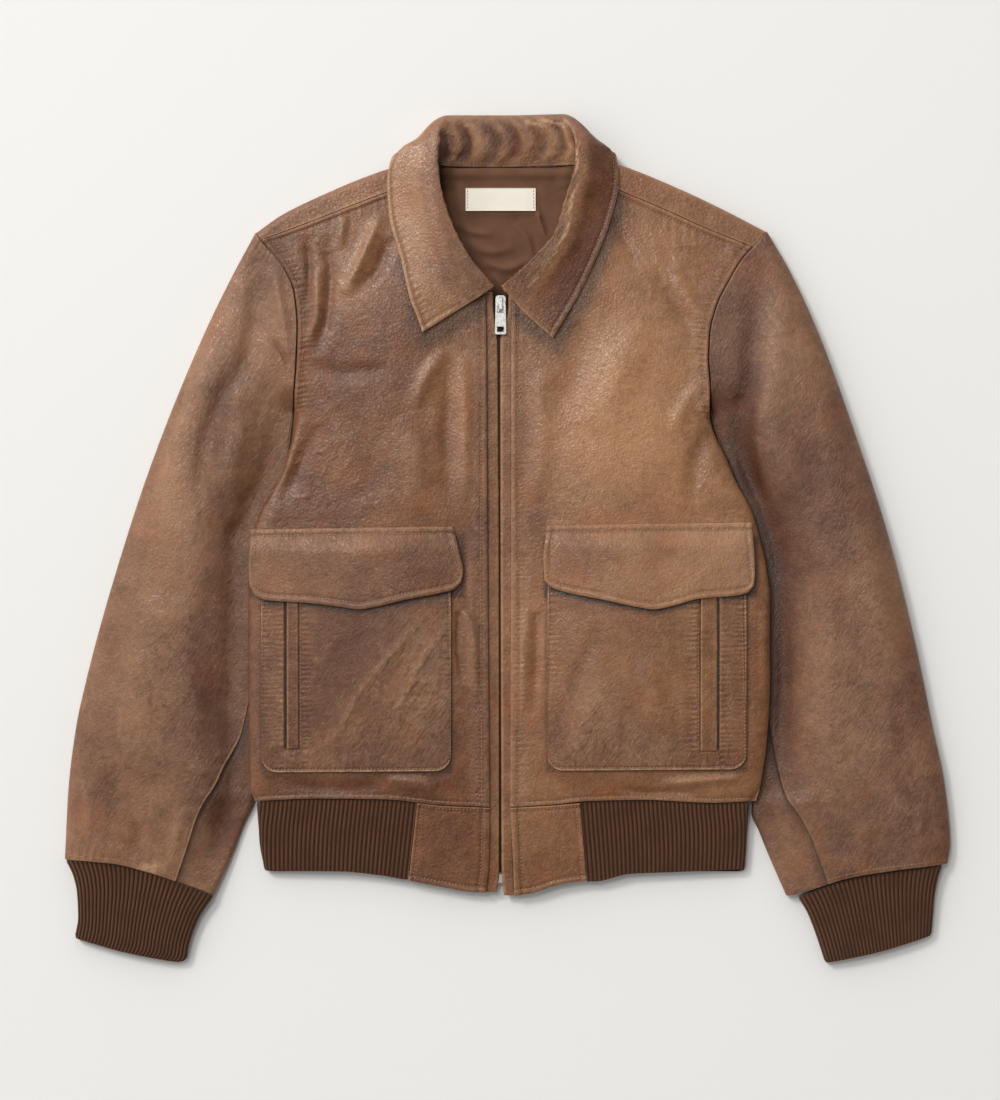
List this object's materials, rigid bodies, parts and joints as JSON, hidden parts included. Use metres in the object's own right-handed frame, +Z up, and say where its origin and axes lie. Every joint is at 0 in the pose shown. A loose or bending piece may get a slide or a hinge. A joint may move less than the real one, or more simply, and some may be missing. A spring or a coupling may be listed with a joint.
{
  "type": "leather jacket",
  "caption": "Waist-length leather jacket laid flat on its back: turned-down collar, zip front, flap pockets, two-piece sleeves, ribbed cuffs and hem.",
  "frame": {"origin": "on the surface under the jacket, at the middle of its outline", "axes": "+Z up, out of the front of the jacket; +Y towards the collar; +X towards the wearer's left sleeve"},
  "size_m": [0.7964, 0.7653, 0.0302],
  "materials": {
    "body_leather": "worn, semi-matt brown",
    "trim_leather": "worn, semi-matt brown",
    "knit_rib": "matt wool rib knit",
    "lining": "soft matt twill",
    "label_cloth": "woven, matt",
    "zip_tape": "woven, matt",
    "zip_metal": "aged, satin"
  },
  "bodies": {
    "jacket": {"back": "body_leather", "waist_rib": "knit_rib", "sleeve_upper_right_arm": "body_leather", "sleeve_under_right_arm": "body_leather", "sleeve_upper_right_elbow": "body_leather", "sleeve_under_right_elbow": "body_leather", "sleeve_upper_right_wrist": "body_leather", "sleeve_under_right_wrist": "body_leather", "front_right": "body_leather", "cuff_right": "knit_rib", "hem_panel_right": "body_leather", "zip_guard_right": "body_leather", "zip_tape_right": "zip_tape", "pocket_right": "trim_leather", "pocket_welt_right": "trim_leather", "flap_right": "trim_leather", "sleeve_upper_left_arm": "body_leather", "sleeve_under_left_arm": "body_leather", "sleeve_upper_left_elbow": "body_leather", "sleeve_under_left_elbow": "body_leather", "sleeve_upper_left_wrist": "body_leather", "sleeve_under_left_wrist": "body_leather", "front_left": "body_leather", "cuff_left": "knit_rib", "hem_panel_left": "body_leather", "zip_guard_left": "body_leather", "zip_tape_left": "zip_tape", "pocket_left": "trim_leather", "pocket_welt_left": "trim_leather", "flap_left": "trim_leather", "collar": "trim_leather", "lining_neck": "lining", "label": "label_cloth", "zip_chain": "zip_metal", "zip_slider": "zip_metal", "zip_box": "zip_metal"},
    "pull_tab": {"zip_pull": "zip_metal"}
  },
  "joints": [
    {"name": "pull_tab_hinge", "type": "hinge", "parent": "jacket", "child": "pull_tab", "pos_m": [-0.005, 0.2091, 0.0187], "axis": [-1, 0, 0], "range_deg": [0, 110]}
  ]
}
